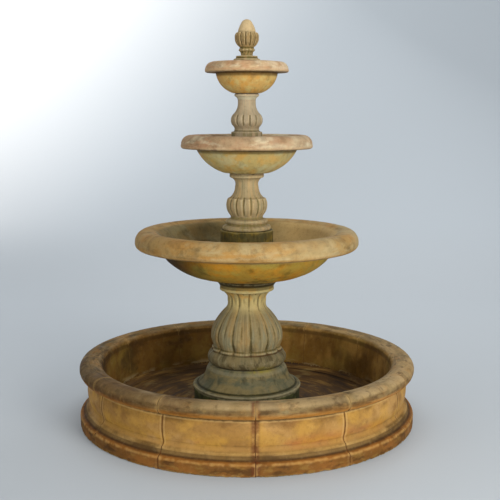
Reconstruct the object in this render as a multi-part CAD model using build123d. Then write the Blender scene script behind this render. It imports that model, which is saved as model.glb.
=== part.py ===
from build123d import *
import math
import os

# Three-tier cast-stone garden fountain standing in a round pool of twelve curb stones.
#
# Frame: +Z up, origin on the ground at the centre of the pool, front of the fountain at -Y.
# All sizes are in millimetres. Every physical piece is its own solid in its own STEP file.

# ---------------------------------------------------------------- driving dimensions
# pool
POOL_RADIUS = 908.0
POOL_INNER_RADIUS = 768.0
POOL_LIP_RADIUS = 795.0
POOL_RIM_TOP = 343.0
FLOOR_TOP = 70.0
CURB_COUNT = 12
CURB_JOINT_OFFSET = 2.6
MORTAR_ANGLE = 0.32
MORTAR_INSET = 2.0

# heights at which one tier stands on the next
PLINTH_TOP = 170.0
BASE_TOP = 300.0
PEDESTAL_TOP = 774.0
BOWL_FLOOR = 850.0
RISER_TOP = 1034.0
MIDDLE_PEDESTAL_TOP = 1336.0
MIDDLE_BOSS_TOP = 1500.0
UPPER_PEDESTAL_TOP = 1753.0
SMALL_BOWL_FLOOR = 1793.0
FINIAL_BASE_TOP = 1949.0
FINIAL_TOP = 2137.0
PAD_THICKNESS = 2.0

# widest radii of the pieces
PLINTH_RADIUS = 290.0
LARGE_BOWL_RADIUS = 601.0
BOWL_RISER_RADIUS = 143.0
MIDDLE_BOWL_RADIUS = 350.0
SMALL_BOWL_RADIUS = 220.0

# hollow insides and the pipe that runs up through the tiers
PLINTH_WALL = 42.0
BASE_CAVITY_RADIUS = 130.0
PEDESTAL_CAVITY_RADIUS = 118.0
PIPE_PASSAGE_RADIUS = 32.0
PIPE_RADIUS = 13.35
PIPE_BORE = 10.45

# grooves: how many, the angle of one groove from the front, and the groove's radius
LEAF_GROOVES = (12, 6.5, 8.0)
LEAF_VEINS = (12, -8.5, 6.0)
MIDDLE_FLUTES = (16, -9.7, 6.0)
UPPER_FLUTES = (14, -14.0, 5.0)
CALYX_FLUTES = (14, -6.0, 4.0)

# pump access at the back of the plinth
ACCESS_WIDTH = 170.0
ACCESS_HEIGHT = 84.0
ACCESS_GAP = 1.5
NOTCH_WIDTH = 64.0
NOTCH_HEIGHT = 46.0
NOTCH_ANGLE = 55.0

# pump: its shaft runs along Y at this height
SHAFT_HEIGHT = 122.0
SHAFT_RADIUS = 3.0
RUNNING_GAP = 0.05
VOLUTE_RADIUS = 40.0
VOLUTE_HALF = 15.0
MOTOR_END = 104.0
SCREEN_END = -52.0
ROTOR_RADIUS = 13.0

# supply line
WATERWAY = 7.0
BARB_RADIUS = 9.5
HOSE_BORE = 9.6
HOSE_RADIUS = 13.0
HOSE_BOTTOM = 168.0
HOSE_TOP = 234.0
VALVE_CENTRE = 268.0
VALVE_BALL_RADIUS = 14.0
VALVE_SEAT = 12.8
STEM_RADIUS = 4.0
LEVER_LENGTH = 70.0
PIPE_BOTTOM = 288.0
PIPE_SPLIT = 1010.0
PIPE_TOP = 1880.0

# floor fittings, behind the pedestal
DRAIN_Y = 560.0
DRAIN_BORE = 19.0
DRAIN_THROAT = 17.0
DRAIN_RADIUS = 24.0
DRAIN_DEPTH = 50.0
GLAND_X = 130.0
GLAND_Y = 430.0
CONDUIT_BORE = 16.0
GLAND_BORE = 14.0
CONDUIT_DEPTH = 46.0
CABLE_HOLE = 4.5
PLUG_HEIGHT = 20.0

TOUCH = 0.1
CLEAR = 0.3


# ---------------------------------------------------------------- helpers
def outline(start, *moves):
    """Closed face in the XZ plane. A move is a point (line) or a pair (via, end) (arc)."""
    edges = []
    here = start
    for move in moves + (start,):
        if isinstance(move[0], tuple):
            via, end = move
            edges.append(ThreePointArc(flat(here), flat(via), flat(end)))
        else:
            end = move
            edges.append(Line(flat(here), flat(end)))
        here = end
    return make_face(edges)


def flat(point):
    """A (radius, height) pair as a point of the XZ plane."""
    return (point[0], 0, point[1])


def turned(start, *moves, angle=360.0):
    """Solid of revolution about Z from an outline of (radius, height) points."""
    return revolve(outline(start, *moves), Axis.Z, angle)


def dome(edge, top):
    """Arc move from an edge point to the axis, part of a sphere centred on the axis."""
    radius, height = edge
    rise = top - height
    ball = (radius**2 + rise**2) / (2 * rise)
    centre = top - ball
    middle = (math.atan2(height - centre, radius) + math.pi / 2) / 2
    return (ball * math.cos(middle), centre + ball * math.sin(middle)), (0, top)


def tube(outer, inner, low, high):
    """Upright ring about the Z axis."""
    return turned((inner, low), (outer, low), (outer, high), (inner, high))


def rod(radius, low, high):
    """Upright cylinder about the Z axis."""
    return Pos(0, 0, (low + high) / 2) * Cylinder(radius, high - low)


def at(x, y, solid):
    """Move a solid that was made about the Z axis."""
    return Pos(x, y, 0) * solid


def along_y(solid):
    """Turn a solid made about Z so that its height runs along +Y at the pump shaft's height."""
    return Pos(0, 0, SHAFT_HEIGHT) * Rot(-90, 0, 0) * solid


def groove(radius, bend, *points):
    """Round-ended groove cutter along a path of tangent lines and arcs, in the XZ plane."""
    path = FilletPolyline(*[flat(point) for point in points], radius=bend)
    run = sweep(Plane(origin=path @ 0, z_dir=path % 0) * Circle(radius), path)
    return run + [Pos(flat(point)) * Sphere(radius) for point in (points[0], points[-1])]


def fluted(body, flutes, bend, *points):
    """Cut equally spaced grooves; the angle counts from the front (-Y) towards +X."""
    count, first, radius = flutes
    cutter = groove(radius, bend, *points)
    turns = [first - 90 + index * 360 / count for index in range(count)]
    return body - [Rot(0, 0, turn) * cutter for turn in turns]


# ---------------------------------------------------------------- pool
def curb_outline():
    """Section of the pool curb: base band, sloping step, bead, bulging wall and bullnose rim."""
    return outline(
        (POOL_INNER_RADIUS, 0),
        (POOL_RADIUS, 0),
        (POOL_RADIUS, 46),
        ((906, 60), (894, 67)),
        (886, 69),
        (879, 85),
        (869, 88),
        ((875, 96), (868, 104)),
        ((858, 112), (856, 130)),
        ((867, 190), (854, 260)),
        (855, 265),
        (886, 265),
        ((907.5, 300), (891, 333)),
        ((872, 341), (850, POOL_RIM_TOP)),
        ((822, 340), (POOL_LIP_RADIUS, 328)),
        ((786, 319), (783, 306)),
        (POOL_INNER_RADIUS, 108),
    )


def pool_curb(index):
    """One of the twelve curb stones."""
    step = 360 / CURB_COUNT
    stone = revolve(curb_outline(), Axis.Z, step - MORTAR_ANGLE)
    start = -90 + CURB_JOINT_OFFSET + index * step + MORTAR_ANGLE / 2
    return Rot(0, 0, start) * stone


def curb_mortar():
    """The twelve mortar beds between the curb stones, set back from the faces."""
    bed = revolve(offset(curb_outline(), -MORTAR_INSET), Axis.Z, MORTAR_ANGLE)
    first = -90 + CURB_JOINT_OFFSET - MORTAR_ANGLE / 2
    return [Rot(0, 0, first + index * 360 / CURB_COUNT) * bed for index in range(CURB_COUNT)]


def pool_floor():
    """Cast slab inside the curb, with the drain hole and the stepped conduit bore."""
    slab = rod(POOL_INNER_RADIUS - CLEAR, 0, FLOOR_TOP)
    drain = at(0, DRAIN_Y, rod(DRAIN_RADIUS + TOUCH, 0, FLOOR_TOP))
    conduit = at(GLAND_X, GLAND_Y, rod(CONDUIT_BORE, 0, CONDUIT_DEPTH))
    gland_seat = at(GLAND_X, GLAND_Y, rod(GLAND_BORE, CONDUIT_DEPTH, FLOOR_TOP))
    return slab - drain - conduit - gland_seat


def floor_cove():
    """Waterproof mortar cove in the corner between the floor and the curb."""
    edge = POOL_INNER_RADIUS - CLEAR
    return turned(
        (edge, FLOOR_TOP),
        (edge, 107),
        (edge - 2, 107),
        ((755, 84), (722, FLOOR_TOP + 2)),
        (722, FLOOR_TOP),
    )


# ---------------------------------------------------------------- pedestals
def arch(width, height, depth, clearance=0.0):
    """Round-headed block that stands on the floor and runs along +Y from the plinth's inside."""
    half = width / 2 - clearance
    spring = FLOOR_TOP + height * 0.6
    top = FLOOR_TOP + height - clearance
    face = outline(
        (-half, FLOOR_TOP),
        (half, FLOOR_TOP),
        (half, spring),
        ((0, top), (-half, spring)),
    )
    start = PLINTH_RADIUS - PLINTH_WALL - depth / 4
    return Pos(0, start, 0) * extrude(face, depth, dir=(0, 1, 0))


def pump_plinth():
    """Hollow drum that the pedestal stands on; it houses the pump."""
    drum = tube(PLINTH_RADIUS, PLINTH_RADIUS - PLINTH_WALL, FLOOR_TOP, PLINTH_TOP)
    doorway = arch(ACCESS_WIDTH, ACCESS_HEIGHT, PLINTH_WALL * 2)
    notch = arch(NOTCH_WIDTH, NOTCH_HEIGHT, PLINTH_WALL * 2)
    notches = [Rot(0, 0, turn) * notch for turn in (-NOTCH_ANGLE, NOTCH_ANGLE)]
    return drum - doorway - notches


def access_cover():
    """Cast cover that fills the doorway at the back of the plinth, with a finger ring recess."""
    block = arch(ACCESS_WIDTH, ACCESS_HEIGHT, PLINTH_WALL * 2, ACCESS_GAP)
    wall = tube(PLINTH_RADIUS, PLINTH_RADIUS - PLINTH_WALL + 4, FLOOR_TOP, PLINTH_TOP)
    grip = Pos(0, PLINTH_RADIUS, FLOOR_TOP + 46) * Rot(0, 90, 0) * Cylinder(13, 60)
    return (block & wall) - grip


def pedestal_base():
    """Flared foot of the pedestal: bead, step, cavetto and rounded shoulder, hollow inside."""
    return turned(
        (BASE_CAVITY_RADIUS, PLINTH_TOP),
        (PLINTH_RADIUS, PLINTH_TOP),
        ((297, 179), (289, 188)),
        (265, 190),
        ((265, 197), (257, 204)),
        ((234, 233), (224, 262)),
        ((214, 284), (199, BASE_TOP)),
        (BASE_CAVITY_RADIUS, BASE_TOP),
    )


def lower_pedestal():
    """Torus, ring, bulb wrapped in twelve leaves, neck and moulded collar under the large bowl."""
    low = BASE_TOP + PAD_THICKNESS
    body = turned(
        (PEDESTAL_CAVITY_RADIUS, low),
        (198, low),
        ((216, 337), (198, 372)),
        (190, 376),
        (190, 380),
        ((194, 385), (190, 391)),
        (181, 393),
        ((197, 450), (181, 520)),
        ((150, 568), (114, 606)),
        ((106, 622), (106, 645)),
        (106, 668),
        ((115, 684), (140, 704)),
        ((149, 711), (146, 720)),
        (146, 724),
        ((152, 739), (166, 753)),
        (166, PEDESTAL_TOP),
        (PIPE_PASSAGE_RADIUS, PEDESTAL_TOP),
        (PIPE_PASSAGE_RADIUS, 600),
        (PEDESTAL_CAVITY_RADIUS, 500),
    )
    throat = ((108, 628), (106, 664), (131, 699))
    leaves = fluted(body, LEAF_GROOVES, 40, (188, 406), (202, 470), (173, 548), *throat)
    return fluted(leaves, LEAF_VEINS, 40, (205, 445), (190, 500), (170, 546), *throat)


def bowl_riser():
    """Drum standing on the large bowl's floor that lifts the middle pedestal out of the water."""
    return tube(BOWL_RISER_RADIUS, 60, BOWL_FLOOR, RISER_TOP)


def middle_pedestal():
    """Stepped foot, torus, ribbed bulb with a ledge over the ribs, waisted neck and bead."""
    body = turned(
        (PIPE_PASSAGE_RADIUS, RISER_TOP),
        (127, RISER_TOP),
        ((132, 1046), (124, 1057)),
        (110, 1061),
        ((107, 1066), (109, 1070)),
        ((114, 1081), (105, 1092)),
        (87, 1095),
        (86, 1107),
        ((110, 1154), (103, 1203)),
        (89, 1209),
        ((70, 1236), (64, 1266)),
        ((67, 1298), (81, 1311)),
        ((91, 1316), (92, 1326)),
        (92, MIDDLE_PEDESTAL_TOP),
        (PIPE_PASSAGE_RADIUS, MIDDLE_PEDESTAL_TOP),
    )
    return fluted(body, MIDDLE_FLUTES, 40, (95, 1116), (112, 1158), (105, 1199))


def upper_pedestal():
    """Round foot plate, fluted bulb, slender neck and collar."""
    body = turned(
        (PIPE_PASSAGE_RADIUS, MIDDLE_BOSS_TOP),
        (83, MIDDLE_BOSS_TOP),
        (83, 1554),
        (67, 1559),
        (65, 1575),
        (70, 1582),
        ((86, 1614), (75, 1645)),
        ((50, 1686), (48, 1711)),
        ((51, 1729), (64, 1740)),
        (66, 1745),
        (66, UPPER_PEDESTAL_TOP),
        (PIPE_PASSAGE_RADIUS, UPPER_PEDESTAL_TOP),
    )
    return fluted(body, UPPER_FLUTES, 24, (76, 1589), (87, 1614), (77, 1641))


# ---------------------------------------------------------------- bowls
def large_bowl():
    """Lowest bowl: shallow dish with a full rounded rim that rolls into the inside."""
    under = PEDESTAL_TOP + PAD_THICKNESS
    return turned(
        (PIPE_PASSAGE_RADIUS, under),
        (200, under),
        ((340, 809), (430, 872)),
        ((452, 903), (460, 937)),
        (560, 938),
        ((592, 945), (LARGE_BOWL_RADIUS, 974)),
        ((590, 1011), (545, 1036)),
        ((515, 1036), (490, 1027)),
        ((463, 1009), (450, 985)),
        ((378, 896), (230, BOWL_FLOOR)),
        (PIPE_PASSAGE_RADIUS, BOWL_FLOOR),
    )


def middle_bowl():
    """Middle bowl: quarter-round rim with a flat underside and a boss cast in its floor."""
    under = MIDDLE_PEDESTAL_TOP + PAD_THICKNESS
    return turned(
        (PIPE_PASSAGE_RADIUS, under),
        (122, under),
        ((217, 1392), (271, 1466)),
        (340, 1466),
        ((348, 1471), (MIDDLE_BOWL_RADIUS, 1488)),
        ((334, 1526), (292, 1538)),
        ((272, 1530), (262, 1510)),
        ((214, 1429), (135, 1396)),
        (97, 1396),
        (94, MIDDLE_BOSS_TOP),
        (PIPE_PASSAGE_RADIUS, MIDDLE_BOSS_TOP),
    )


def small_bowl():
    """Top bowl: deep cup under a quarter-round rim."""
    under = UPPER_PEDESTAL_TOP + PAD_THICKNESS
    return turned(
        (PIPE_PASSAGE_RADIUS, under),
        (70, under),
        ((135, 1796), (164, 1862)),
        (212, 1862),
        ((219, 1866), (SMALL_BOWL_RADIUS, 1879)),
        ((207, 1908), (168, 1918)),
        ((152, 1912), (145, 1896)),
        ((118, 1825), (62, SMALL_BOWL_FLOOR)),
        (PIPE_PASSAGE_RADIUS, SMALL_BOWL_FLOOR),
    )


def setting_pad(outer, low, inner=60.0):
    """Thin pad that levels one tier on the next, kept back from the faces."""
    return tube(outer, inner, low, low + PAD_THICKNESS)


# ---------------------------------------------------------------- finial
def finial_base():
    """Spill post in the top bowl: hollow stem with four outlets, and the stepped plate."""
    chamber = 24.0
    socket = 20.0
    body = turned(
        (chamber, SMALL_BOWL_FLOOR),
        (46, SMALL_BOWL_FLOOR),
        (46, 1908),
        ((52, 1918), (68, 1923)),
        (70, 1926),
        (70, 1933),
        (60, 1936),
        (57, 1939),
        (57, FINIAL_BASE_TOP),
        (socket, FINIAL_BASE_TOP),
        (socket, 1908),
        (chamber, 1900),
    )
    outlet = Pos(0, 0, 1868) * Rot(0, 90, 0) * Cylinder(7, 120)
    return body - [Rot(0, 0, turn) * outlet for turn in (45, 135)]


def finial():
    """Egg in a lobed calyx on a leafy neck; its spigot drops into the base."""
    spigot = 20.0 - CLEAR
    shoulder = (31, 2114)
    body = turned(
        (0, 1912),
        (spigot, 1912),
        (spigot, FINIAL_BASE_TOP),
        (33, FINIAL_BASE_TOP),
        (31, 1953),
        ((36, 1967), (44, 1977)),
        ((43, 1984), (37, 1989)),
        (38, 1994),
        ((58, 2015), (64, 2043)),
        ((62, 2060), (54, 2070)),
        (48, 2066),
        ((43, 2090), shoulder),
        dome(shoulder, FINIAL_TOP),
    )
    return fluted(body, CALYX_FLUTES, 30, (47, 2001), (63, 2022), (66, 2060))


# ---------------------------------------------------------------- supply line
def riser_pipe(low, high):
    """One length of the plastic supply pipe."""
    return tube(PIPE_RADIUS, PIPE_BORE, low, high)


def pipe_coupling():
    """Socket coupling that joins the two lengths of pipe, with an inner stop ring."""
    half = 24.0
    stop = 1.0
    return turned(
        (PIPE_RADIUS + TOUCH, PIPE_SPLIT - half),
        (17.5, PIPE_SPLIT - half),
        (17.5, PIPE_SPLIT + half),
        (PIPE_RADIUS + TOUCH, PIPE_SPLIT + half),
        (PIPE_RADIUS + TOUCH, PIPE_SPLIT + stop),
        (PIPE_BORE, PIPE_SPLIT + stop),
        (PIPE_BORE, PIPE_SPLIT - stop),
        (PIPE_RADIUS + TOUCH, PIPE_SPLIT - stop),
    )


def pipe_grommets():
    """Three tapered rubber bungs that seal the pipe in the bowls' centre holes."""
    inner = PIPE_RADIUS + TOUCH
    outer = PIPE_PASSAGE_RADIUS - TOUCH
    bung = turned((inner, 0), (outer - 3, 0), (outer, 6), (outer, 30), (inner, 30))
    tops = (BOWL_FLOOR, MIDDLE_BOSS_TOP, SMALL_BOWL_FLOOR)
    return [Pos(0, 0, top - 30) * bung for top in tops]


def supply_hose():
    """Short straight hose from the pump to the valve."""
    return tube(HOSE_RADIUS, HOSE_BORE, HOSE_BOTTOM, HOSE_TOP)


def hose_clamps():
    """Two worm-drive clamps: band with its screw housing, and the screw, on each end."""
    parts = []
    for height in (HOSE_BOTTOM + 9, HOSE_TOP - 9):
        band = tube(HOSE_RADIUS + 0.9, HOSE_RADIUS + TOUCH, height - 4.5, height + 4.5)
        housing = Pos(0, -HOSE_RADIUS - 4.2, height) * Box(12, 7, 9)
        tunnel = Pos(0, -HOSE_RADIUS - 4.8, height) * Rot(0, 90, 0) * Cylinder(2.6, 12)
        screw = Pos(1.5, -HOSE_RADIUS - 4.8, height) * Rot(0, 90, 0) * Cylinder(2.5, 15)
        head = Pos(11, -HOSE_RADIUS - 4.8, height) * Rot(0, 90, 0) * Cylinder(3.6, 4)
        core = rod(HOSE_RADIUS + TOUCH, height - 6, height + 6)
        parts += [band + (housing - core) - tunnel, screw + head]
    return parts


def barbs(low, high, ridge=6.0):
    """Hose tail with sawtooth ridges; the ridges face the hose's end."""
    count = int((high - low) / ridge)
    moves = [(BARB_RADIUS - 1.0, low)]
    for index in range(count):
        step = low + index * ridge
        moves += [(BARB_RADIUS, step + 1), (BARB_RADIUS - 0.8, step + ridge)]
    return turned((WATERWAY, low), *moves, (WATERWAY, low + count * ridge))


def valve_body():
    """Ball valve: barbed lower tail, round body with a ball chamber, and pipe socket on top."""
    tail = barbs(HOSE_TOP - 24, HOSE_TOP)
    shell = turned(
        (WATERWAY, HOSE_TOP),
        (16, HOSE_TOP),
        (16, 246),
        (21, 250),
        (21, 286),
        (18, 290),
        (18, 312),
        (PIPE_RADIUS + TOUCH, 312),
        (PIPE_RADIUS + TOUCH, PIPE_BOTTOM),
        (WATERWAY, PIPE_BOTTOM),
    )
    neck = Pos(0, 22, VALVE_CENTRE) * Rot(90, 0, 0) * Cylinder(9, 16)
    chamber_radius = VALVE_BALL_RADIUS + CLEAR + 1.2
    chamber = rod(chamber_radius, VALVE_CENTRE - VALVE_SEAT, VALVE_CENTRE + VALVE_SEAT)
    stem_hole = Pos(0, 20, VALVE_CENTRE) * Rot(90, 0, 0) * Cylinder(STEM_RADIUS + RUNNING_GAP, 40)
    return tail + shell + (neck - rod(WATERWAY, 240, 300)) - chamber - stem_hole


def valve_seats():
    """Two low-friction seat rings above and below the ball."""
    outer = VALVE_BALL_RADIUS + CLEAR + 1.1
    clear_ball = Pos(0, 0, VALVE_CENTRE) * Sphere(VALVE_BALL_RADIUS + RUNNING_GAP)
    low = tube(outer, 7.5, VALVE_CENTRE - VALVE_SEAT, VALVE_CENTRE - 7)
    high = tube(outer, 7.5, VALVE_CENTRE + 7, VALVE_CENTRE + VALVE_SEAT)
    return [low - clear_ball, high - clear_ball]


def valve_ball():
    """Bored ball with the slot that the stem's tongue drives."""
    ball = Pos(0, 0, VALVE_CENTRE) * Sphere(VALVE_BALL_RADIUS)
    bore = rod(WATERWAY, VALVE_CENTRE - 20, VALVE_CENTRE + 20)
    slot = Pos(0, 13, VALVE_CENTRE) * Box(3.0, 5, 40)
    return ball - bore - slot


def valve_stem():
    """Stem with a tongue in the ball's slot and a threaded end through the lever."""
    shank = Pos(0, 28, VALVE_CENTRE) * Rot(90, 0, 0) * Cylinder(STEM_RADIUS, 28)
    tongue = Pos(0, 12.3, VALVE_CENTRE) * Box(2.8, 3.4, 7)
    return shank + tongue


def valve_lever():
    """Flat lever with a hub on the stem; it points up when the valve is open."""
    hub = Pos(0, 33, VALVE_CENTRE) * Rot(90, 0, 0) * Cylinder(9, 5)
    arm = Pos(0, 33, VALVE_CENTRE + LEVER_LENGTH / 2 - 5) * Box(12, 4, LEVER_LENGTH - 10)
    tip = Pos(0, 33, VALVE_CENTRE + LEVER_LENGTH - 10) * Rot(90, 0, 0) * Cylinder(8, 4)
    hole = Pos(0, 33, VALVE_CENTRE) * Rot(90, 0, 0) * Cylinder(STEM_RADIUS, 10)
    return hub + arm + tip - hole


def valve_nut():
    """Hexagon nut that holds the lever on the stem."""
    face = Plane(origin=(0, 36, VALVE_CENTRE), z_dir=(0, 1, 0))
    prism = extrude(face * RegularPolygon(7, 6), 5)
    hole = Pos(0, 38, VALVE_CENTRE) * Rot(90, 0, 0) * Cylinder(STEM_RADIUS, 12)
    return prism - hole


# ---------------------------------------------------------------- pump
def stator_ring():
    """Space of the stator core, about Z from the front of the volute."""
    return tube(31, ROTOR_RADIUS + 4.0, 28, 72)


def pump_housing():
    """Motor housing with a blind rotor well, rear shaft socket and the potted core's space."""
    well = ROTOR_RADIUS + 2.0
    body = turned(
        (well, VOLUTE_HALF),
        (VOLUTE_RADIUS, VOLUTE_HALF),
        (VOLUTE_RADIUS, MOTOR_END - 16),
        ((VOLUTE_RADIUS - 5, MOTOR_END - 5), (VOLUTE_RADIUS - 16, MOTOR_END)),
        (0, MOTOR_END),
        (0, 86),
        (6, 86),
        (6, 80),
        (well, 80),
    )
    rib = tube(VOLUTE_RADIUS + 1.5, VOLUTE_RADIUS - 1, 0, 3)
    ribs = [Pos(0, 0, 26 + 14 * index) * rib for index in range(5)]
    return along_y(body + ribs - stator_ring())


def stator_core():
    """Laminated core with its coils, potted around the rotor well."""
    return along_y(stator_ring())


def pump_cover():
    """Volute: round chamber in front of the motor, open to the intake and to the outlet."""
    chamber = turned(
        (18, -VOLUTE_HALF),
        (VOLUTE_RADIUS, -VOLUTE_HALF),
        (VOLUTE_RADIUS, VOLUTE_HALF),
        (31, VOLUTE_HALF),
        (31, -VOLUTE_HALF + 4),
        (18, -VOLUTE_HALF + 4),
    )
    top = SHAFT_HEIGHT + VOLUTE_RADIUS
    boss = rod(13, top - 8, top + 3)
    hollow = along_y(rod(31, -VOLUTE_HALF + 4, VOLUTE_HALF))
    outlet = rod(10.0, SHAFT_HEIGHT, top + 4)
    return along_y(chamber) + (boss - hollow) - outlet


def impeller():
    """Backplate with six curved vanes, pinned to the magnet."""
    bore = SHAFT_RADIUS + RUNNING_GAP
    plate = tube(26, bore, 4, 7)
    hub = tube(8, bore, -8, 4)
    vane = Pos(14, 0, -2) * Rot(0, 0, 22) * Box(21, 2, 12)
    ring = tube(26, 7, -8, 4)
    vanes = [(Rot(0, 0, 60 * index) * vane) & ring for index in range(6)]
    return along_y(plate + hub + vanes)


def rotor_magnet():
    """Magnet cylinder that the stator turns; it drives the impeller."""
    return along_y(tube(ROTOR_RADIUS, SHAFT_RADIUS + RUNNING_GAP, 7, 74))


def rotor_shaft():
    """Fixed ceramic shaft."""
    return along_y(rod(SHAFT_RADIUS, -12, 84))


def shaft_bushings():
    """Rubber bushings that hold the two ends of the shaft."""
    outer = 6
    rear = turned(
        (SHAFT_RADIUS, 77),
        (outer, 77),
        (outer, 86),
        (0, 86),
        (0, 84),
        (SHAFT_RADIUS, 84),
    )
    front = turned(
        (0, -14),
        (outer, -14),
        (outer, -9),
        (SHAFT_RADIUS, -9),
        (SHAFT_RADIUS, -12),
        (0, -12),
    )
    return [along_y(rear), along_y(front)]


def intake_screen():
    """Slotted strainer cup clipped on the volute, with a spider that holds the front bushing."""
    wall = tube(35, 32, SCREEN_END + 3, -VOLUTE_HALF)
    end = tube(35, 14, SCREEN_END, SCREEN_END + 3)
    slot = Pos(0, 0, (SCREEN_END - VOLUTE_HALF) / 2) * Box(80, 3.2, 24)
    slots = [Rot(0, 0, 15 * index) * slot for index in range(12)]
    ring = tube(35, 6, -19, -VOLUTE_HALF)
    gaps = [Rot(0, 0, 120 * index) * Pos(17, 0, -17) * Box(17, 24, 6) for index in range(3)]
    cup = tube(8, 6, -19, -9)
    return along_y((wall - slots) + end + (ring - gaps) + cup)


def flow_dial():
    """Knob on the front of the strainer that throttles the intake, with a grip bar."""
    hub = rod(13.7, SCREEN_END, SCREEN_END + 3)
    disc = rod(20, SCREEN_END - 3.3, SCREEN_END - 0.3)
    bar = Pos(0, 0, SCREEN_END - 7) * Box(30, 6, 8)
    port = Pos(0, 9, SCREEN_END) * Cylinder(3.5, 20)
    neck = rod(13.7, SCREEN_END - 1, SCREEN_END + 0.5)
    return along_y(hub + neck + disc + bar - port - Pos(0, -18, 0) * port)


def outlet_barb():
    """Hose tail screwed into the top of the volute."""
    low = SHAFT_HEIGHT + VOLUTE_RADIUS - 6
    stem = turned(
        (WATERWAY, low),
        (9.9, low),
        (9.9, low + 9),
        (12.5, low + 9),
        (12.5, HOSE_BOTTOM),
        (WATERWAY, HOSE_BOTTOM),
    )
    return stem + barbs(HOSE_BOTTOM, HOSE_BOTTOM + 24)


def pump_feet():
    """Four rubber suction feet under the pump, each with its stem in a foot rail."""
    cup = turned(
        (0, FLOOR_TOP + 1),
        (10, FLOOR_TOP),
        (11, FLOOR_TOP + 1),
        (5, FLOOR_TOP + 5),
        (3, FLOOR_TOP + 6),
        (3, FLOOR_TOP + 9),
        (0, FLOOR_TOP + 9),
    )
    return [at(x, y, cup) for x in (-24, 24) for y in (26, 80)]


def foot_frame():
    """Plastic cradle under the motor housing that takes the four feet."""
    low = FLOOR_TOP + 6
    rails = [Pos(x, 53, low + 3) * Box(10, 76, 6) for x in (-24, 24)]
    saddles = [Pos(0, y, low + 11) * Box(58, 10, 22) for y in (26, 80)]
    motor = along_y(rod(VOLUTE_RADIUS + 1.6, 10, MOTOR_END))
    sockets = [at(x, y, rod(3.0 + TOUCH, low, low + 3)) for x in (-24, 24) for y in (26, 80)]
    return rails[0] + rails[1] + saddles - motor - sockets


# ---------------------------------------------------------------- floor fittings
def drain_fitting():
    """Flanged tube cast through the floor: socket for the drain pipe below, throat above."""
    flange = FLOOR_TOP + 2
    body = turned(
        (DRAIN_BORE, 0),
        (DRAIN_RADIUS, 0),
        (DRAIN_RADIUS, flange),
        (38, flange),
        (36, flange + 4),
        (DRAIN_THROAT, flange + 4),
        (DRAIN_THROAT, DRAIN_DEPTH),
        (DRAIN_BORE, DRAIN_DEPTH),
    )
    return at(0, DRAIN_Y, body)


def drain_gasket():
    """Rubber ring under the drain flange."""
    return at(0, DRAIN_Y, tube(37, DRAIN_RADIUS + TOUCH, FLOOR_TOP, FLOOR_TOP + 2))


def drain_plug():
    """Rubber stopper with a pull eye; it closes the drain's throat."""
    top = FLOOR_TOP + 6
    stopper = turned(
        (0, top - PLUG_HEIGHT),
        (DRAIN_THROAT - 1.5, top - PLUG_HEIGHT),
        (DRAIN_THROAT - CLEAR, top),
        (24, top),
        (23, top + 5),
        (0, top + 5),
    )
    eye = Pos(0, 0, top + 11) * Rot(90, 0, 0) * Torus(8, 2.4)
    return at(0, DRAIN_Y, stopper + eye)


def cord_gland():
    """Domed cable gland above the conduit; the pump's cable would leave through it."""
    low = FLOOR_TOP - PLUG_HEIGHT
    body = turned(
        (CABLE_HOLE, low),
        (GLAND_BORE - TOUCH, low),
        (GLAND_BORE - TOUCH, FLOOR_TOP),
        (25, FLOOR_TOP),
        (25, FLOOR_TOP + 6),
        (15, FLOOR_TOP + 8),
        ((13, FLOOR_TOP + 17), (7, FLOOR_TOP + 20)),
        (CABLE_HOLE, FLOOR_TOP + 20),
    )
    return at(GLAND_X, GLAND_Y, body)


# ---------------------------------------------------------------- all pieces
def all_parts():
    """Every node by name, each with its solids."""
    parts = {f"pool_curb_{index + 1:02d}": pool_curb(index) for index in range(CURB_COUNT)}
    parts.update(
        curb_mortar=curb_mortar(),
        pool_floor=pool_floor(),
        floor_cove=floor_cove(),
        pump_plinth=pump_plinth(),
        access_cover=access_cover(),
        pedestal_base=pedestal_base(),
        pedestal_pad=setting_pad(192, BASE_TOP, BASE_CAVITY_RADIUS),
        lower_pedestal=lower_pedestal(),
        large_bowl_pad=setting_pad(158, PEDESTAL_TOP),
        large_bowl=large_bowl(),
        bowl_riser=bowl_riser(),
        middle_pedestal=middle_pedestal(),
        middle_bowl_pad=setting_pad(86, MIDDLE_PEDESTAL_TOP, 40),
        middle_bowl=middle_bowl(),
        upper_pedestal=upper_pedestal(),
        small_bowl_pad=setting_pad(61, UPPER_PEDESTAL_TOP, 40),
        small_bowl=small_bowl(),
        finial_base=finial_base(),
        finial=finial(),
        riser_pipe_lower=riser_pipe(PIPE_BOTTOM, PIPE_SPLIT - 1),
        riser_pipe_upper=riser_pipe(PIPE_SPLIT + 1, PIPE_TOP),
        pipe_coupling=pipe_coupling(),
        pipe_grommets=pipe_grommets(),
        supply_hose=supply_hose(),
        hose_clamps=hose_clamps(),
        valve_body=valve_body(),
        valve_seats=valve_seats(),
        valve_ball=valve_ball(),
        valve_stem=valve_stem(),
        valve_lever=valve_lever(),
        valve_nut=valve_nut(),
        pump_housing=pump_housing(),
        stator_core=stator_core(),
        pump_cover=pump_cover(),
        impeller=impeller(),
        rotor_magnet=rotor_magnet(),
        rotor_shaft=rotor_shaft(),
        shaft_bushings=shaft_bushings(),
        intake_screen=intake_screen(),
        flow_dial=flow_dial(),
        outlet_barb=outlet_barb(),
        foot_frame=foot_frame(),
        pump_feet=pump_feet(),
        drain_fitting=drain_fitting(),
        drain_gasket=drain_gasket(),
        drain_plug=drain_plug(),
        cord_gland=cord_gland(),
    )
    return parts


def write_parts():
    """Write one STEP file per node."""
    os.makedirs("parts", exist_ok=True)
    for name, solids in all_parts().items():
        shape = Compound(children=list(solids)) if isinstance(solids, list) else solids
        export_step(shape, f"parts/{name}.step")


write_parts()
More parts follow.
